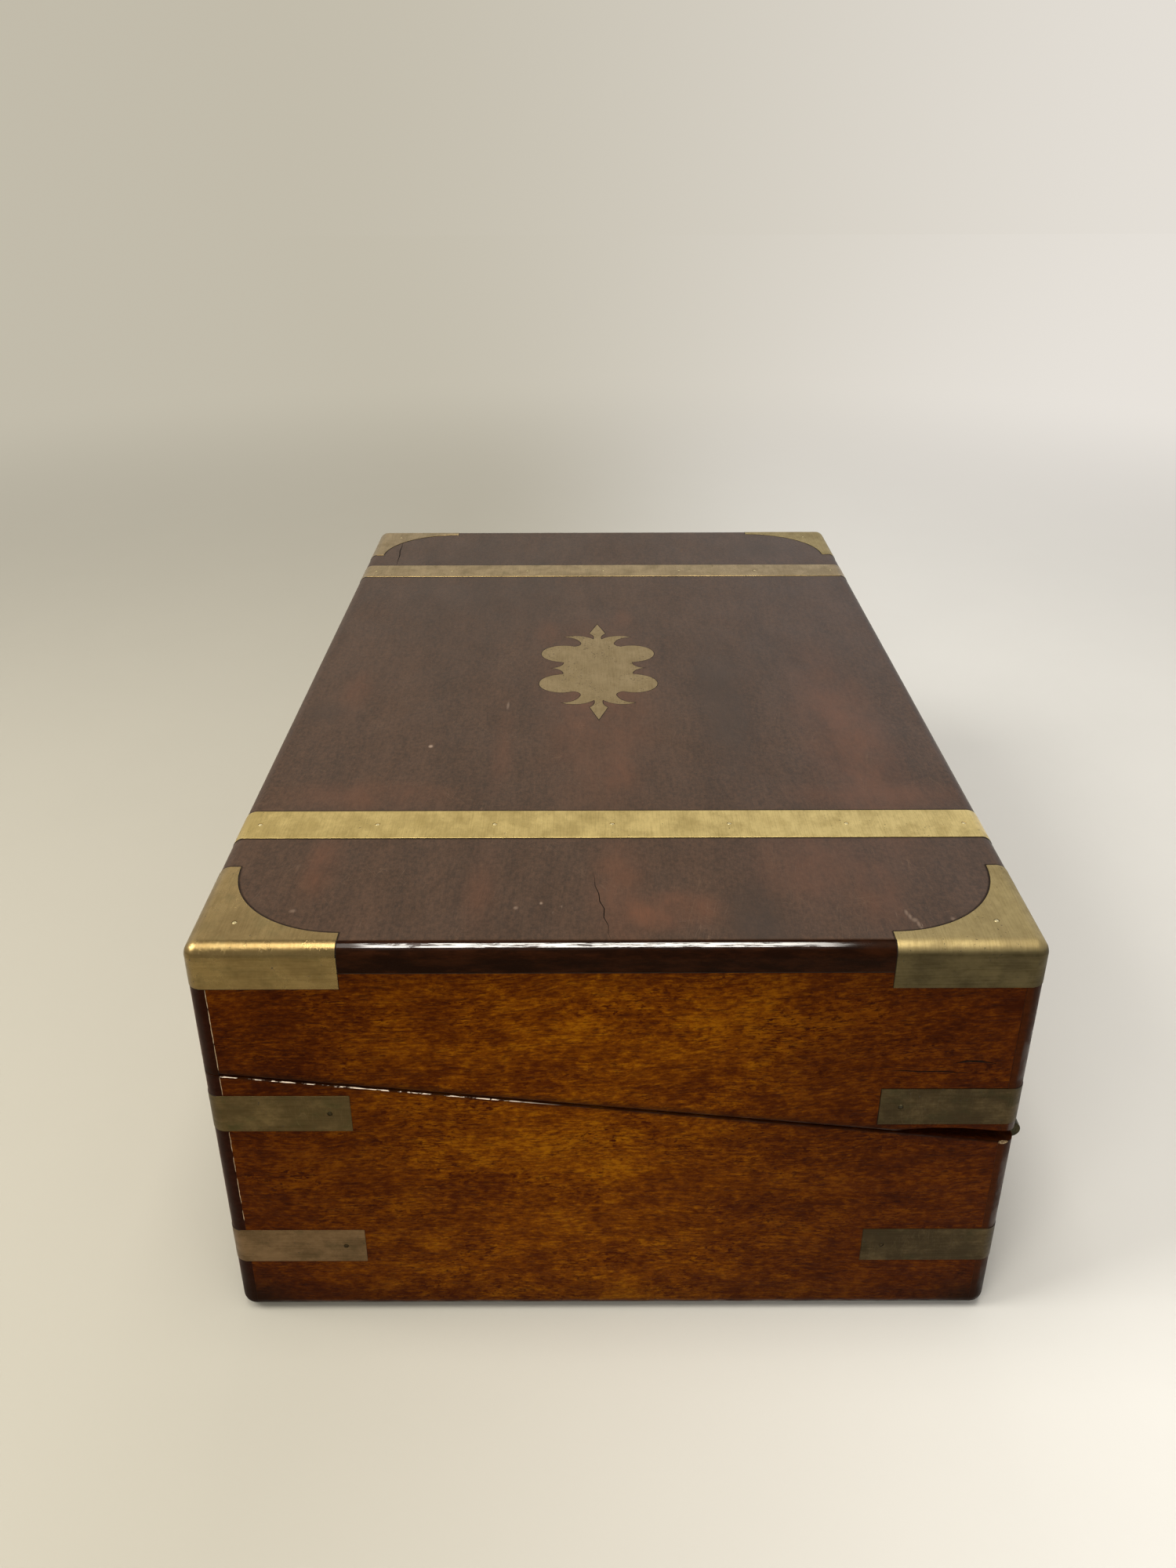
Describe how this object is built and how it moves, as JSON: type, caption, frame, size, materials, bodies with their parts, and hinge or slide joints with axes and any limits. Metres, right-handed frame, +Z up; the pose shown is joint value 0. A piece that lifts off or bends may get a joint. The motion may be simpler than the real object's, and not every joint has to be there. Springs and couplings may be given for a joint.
{
  "type": "writing slope",
  "caption": "Brass-bound mahogany writing slope: a flat box that opens on a sloping split into one long leather writing surface, with wells under hinged flaps.",
  "frame": {"origin": "middle of the underside", "axes": "+Z up, +X along the box to the writer's right, -Y towards the writer and the hinges"},
  "size_m": [0.4102, 0.2532, 0.1481],
  "materials": {
    "case_mahogany": "french-polished mahogany, warm orange brown",
    "top_mahogany": "old dark polish, purplish brown",
    "lining_wood": "waxed mahogany",
    "flap_mahogany": "polished mahogany border",
    "writing_leather": "worn dark green skiver",
    "green_baize": "dark baize",
    "binding_brass": "aged brass with olive tarnish",
    "hardware_brass": "plain brass",
    "steel": "plain steel",
    "bottle_glass": "clear pressed glass"
  },
  "bodies": {
    "base": {"base_front_board": "case_mahogany", "base_back_board": "case_mahogany", "base_left_end": "case_mahogany", "base_right_end": "case_mahogany", "base_bottom_board": "lining_wood", "underside_baize": "green_baize", "pen_section_floor": "lining_wood", "pen_section_divider": "lining_wood", "inkwell_dividers": "lining_wood", "pen_tray": "lining_wood", "left_inkwell_bottle": "bottle_glass", "right_inkwell_bottle": "bottle_glass", "left_inkwell_cap": "hardware_brass", "right_inkwell_cap": "hardware_brass", "base_flap_ledges": "lining_wood", "lock_case": "hardware_brass", "lock_face_plate": "hardware_brass", "keyhole_escutcheon": "binding_brass", "base_screws": "steel", "left_hinge_base_leaf": "hardware_brass", "right_hinge_base_leaf": "hardware_brass", "left_hinge_pin": "hardware_brass", "right_hinge_pin": "hardware_brass", "left_back_upper_strap": "binding_brass", "left_back_lower_strap": "binding_brass", "left_front_lower_strap": "binding_brass", "right_back_upper_strap": "binding_brass", "right_back_lower_strap": "binding_brass", "right_front_lower_strap": "binding_brass", "base_strap_pins": "hardware_brass", "base_flap_hinge_leaves": "hardware_brass"},
    "bolt": {"lock_bolt": "steel"},
    "lid": {"lid_top_board": "top_mahogany", "lid_front_board": "case_mahogany", "lid_back_board": "case_mahogany", "lid_left_end": "case_mahogany", "lid_right_end": "case_mahogany", "left_back_corner": "binding_brass", "left_front_corner": "binding_brass", "left_top_strap": "binding_brass", "left_front_upper_strap": "binding_brass", "left_hinge_lid_leaf": "hardware_brass", "right_back_corner": "binding_brass", "right_front_corner": "binding_brass", "right_top_strap": "binding_brass", "right_front_upper_strap": "binding_brass", "right_hinge_lid_leaf": "hardware_brass", "top_inlay": "binding_brass", "lid_strap_pins": "hardware_brass", "link_plate": "hardware_brass", "lid_screws": "steel", "lid_flap_ledges": "lining_wood", "lid_flap_hinge_leaves": "hardware_brass"},
    "turn_button": {"flap_turn_button": "hardware_brass"},
    "base_flap": {"base_flap_panel": "flap_mahogany", "base_flap_leather": "writing_leather", "base_flap_moving_leaves": "hardware_brass"},
    "lid_flap": {"lid_flap_panel": "flap_mahogany", "lid_flap_leather": "writing_leather", "lid_flap_moving_leaves": "hardware_brass"}
  },
  "joints": [
    {"name": "lid_hinge", "type": "hinge", "parent": "base", "child": "lid", "pos_m": [0, -0.1253, 0.074], "axis": [1, 0, 0], "range_deg": [0, 180]},
    {"name": "base_flap_hinge", "type": "hinge", "parent": "base", "child": "base_flap", "pos_m": [0, -0.11256, 0.07417], "axis": [1, 0, 0], "range_deg": [0, 81]},
    {"name": "lid_flap_hinge", "type": "hinge", "parent": "lid", "child": "lid_flap", "pos_m": [0, -0.11284, 0.07665], "axis": [-1, 0, 0], "range_deg": [0, 81]},
    {"name": "lock_bolt_slide", "type": "slide", "parent": "base", "child": "bolt", "axis": [1, 0, 0], "range_m": [0, 0.0045]},
    {"name": "turn_button_pivot", "type": "hinge", "parent": "lid", "child": "turn_button", "pos_m": [0.06, 0.11898, 0.10148], "axis": [0, 0.1112, -0.9938], "range_deg": [0, 90]}
  ],
  "couplings": [
    {"joint": "base_flap_hinge", "follows": "lid_hinge", "ratio": 0.45},
    {"joint": "lid_flap_hinge", "follows": "lid_hinge", "ratio": 0.45}
  ]
}
